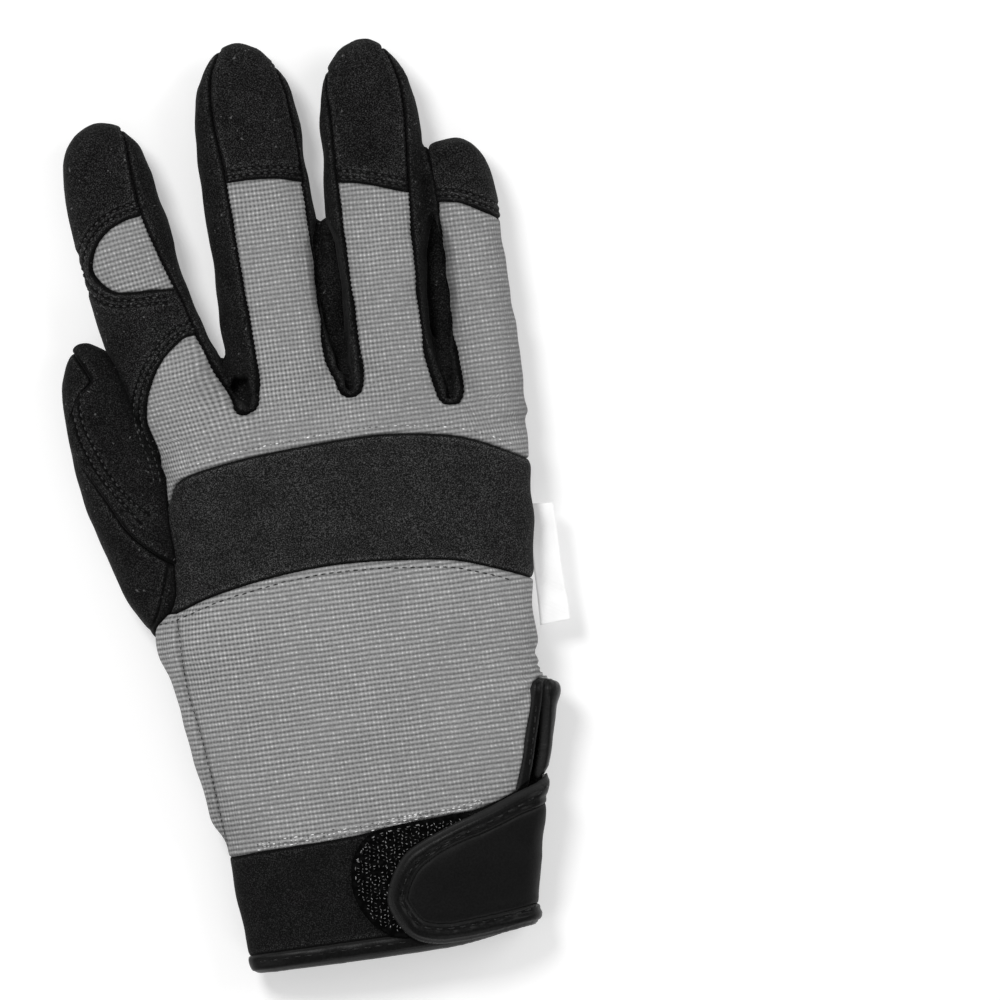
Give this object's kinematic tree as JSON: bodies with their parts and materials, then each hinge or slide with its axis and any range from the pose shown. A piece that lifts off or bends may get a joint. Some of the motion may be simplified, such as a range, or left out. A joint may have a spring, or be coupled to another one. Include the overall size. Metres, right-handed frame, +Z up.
{
  "type": "winter work glove",
  "caption": "Padded right-hand work glove lying palm down, with grey knit back panels, black suede fingertips and an adjustable wrist strap over an open cuff.",
  "frame": {"origin": "middle of the glove's box, on the surface that the palm rests on", "axes": "+X from the thumb's side to the little finger's side, +Y from the cuff to the fingertips, +Z up out of the back of the hand"},
  "size_m": [0.1286, 0.2496, 0.0269],
  "materials": {
    "grey_knit": "matt ribbed stretch knit",
    "black_suede": "matt synthetic suede",
    "black_knit": "matt fine stretch knit",
    "black_leatherette": "smooth with a low sheen",
    "hook_tape": "stiff glossy loops",
    "white_satin": "satin ribbon"
  },
  "bodies": {
    "root": {"palm_panel": "black_suede", "back_panel": "grey_knit", "wrist_panel": "grey_knit", "index_insert": "grey_knit", "knuckle_band": "black_knit", "index_patch": "black_suede", "middle_tip": "black_suede", "ring_tip": "black_suede", "little_tip": "black_suede", "fourchette_index": "black_suede", "fourchette_middle": "black_suede", "fourchette_ring": "black_suede", "thumb_back": "black_suede", "thumb_front": "black_suede", "cuff_back": "black_knit", "cuff_palm": "black_suede", "cuff_binding": "black_leatherette", "vent_binding": "black_leatherette", "hook_patch": "hook_tape", "strap_panel": "black_leatherette", "strap_binding": "black_leatherette", "side_label": "white_satin"}
  },
  "joints": []
}
